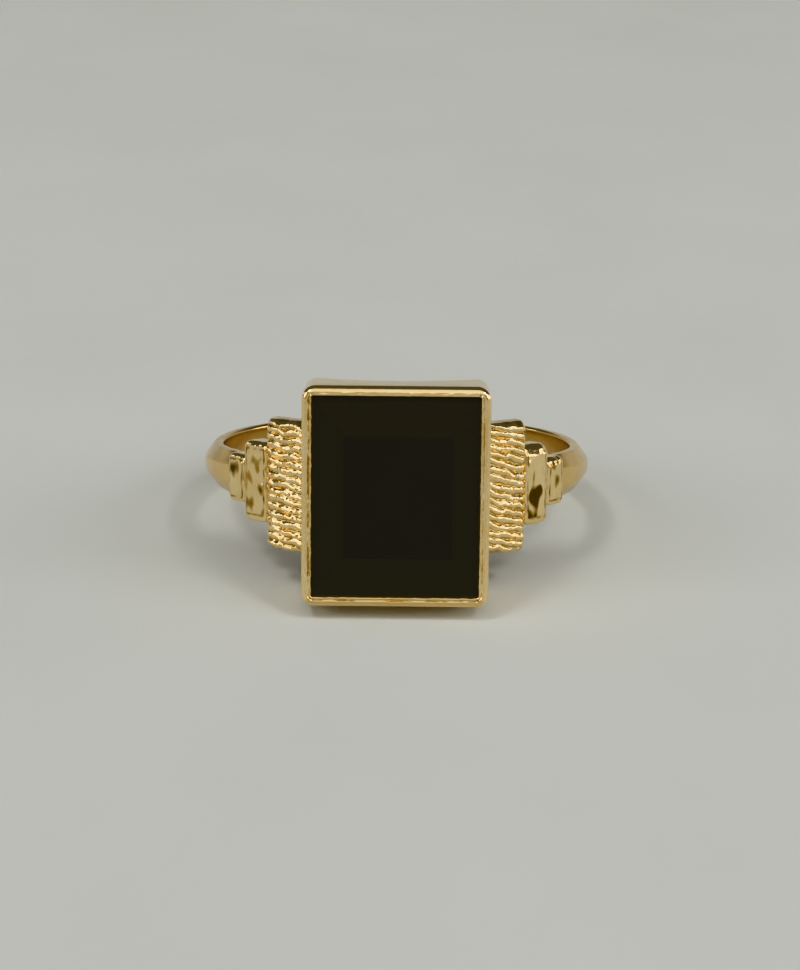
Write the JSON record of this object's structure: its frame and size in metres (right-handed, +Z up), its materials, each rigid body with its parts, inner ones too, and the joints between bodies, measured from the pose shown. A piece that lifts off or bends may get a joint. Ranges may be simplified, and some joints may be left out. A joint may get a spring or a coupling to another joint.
{
  "type": "signet ring",
  "caption": "Gold signet ring lying on its side: rectangular black stone in a rubbed-over bezel, stepped shoulders with a ribbed bar, tapered shank with a softly ridged outside.",
  "frame": {"origin": "on the surface the ring lies on, under the middle of its bounding box", "axes": "+Z up; the ring lies on its side, leaning back on the shank and the head's two lower corners, with the stone facing -Y and tilted up by about 14.0 degrees; +X runs across the head to its right"},
  "size_m": [0.0188, 0.0208, 0.0105],
  "materials": {
    "polished_gold": "polished",
    "ribbed_gold": "gloss",
    "inner_gold": "satin",
    "onyx": "polished"
  },
  "bodies": {
    "root": {"shank": "polished_gold", "shoulder_left": "polished_gold", "shoulder_right": "polished_gold", "ribbed_bar_left": "ribbed_gold", "ribbed_bar_right": "ribbed_gold", "middle_bar_left": "polished_gold", "middle_bar_right": "polished_gold", "outer_bar_left": "polished_gold", "outer_bar_right": "polished_gold", "bezel_wall": "polished_gold", "bearing_ledge": "inner_gold", "back_plate": "inner_gold", "onyx_stone": "onyx"}
  },
  "joints": []
}
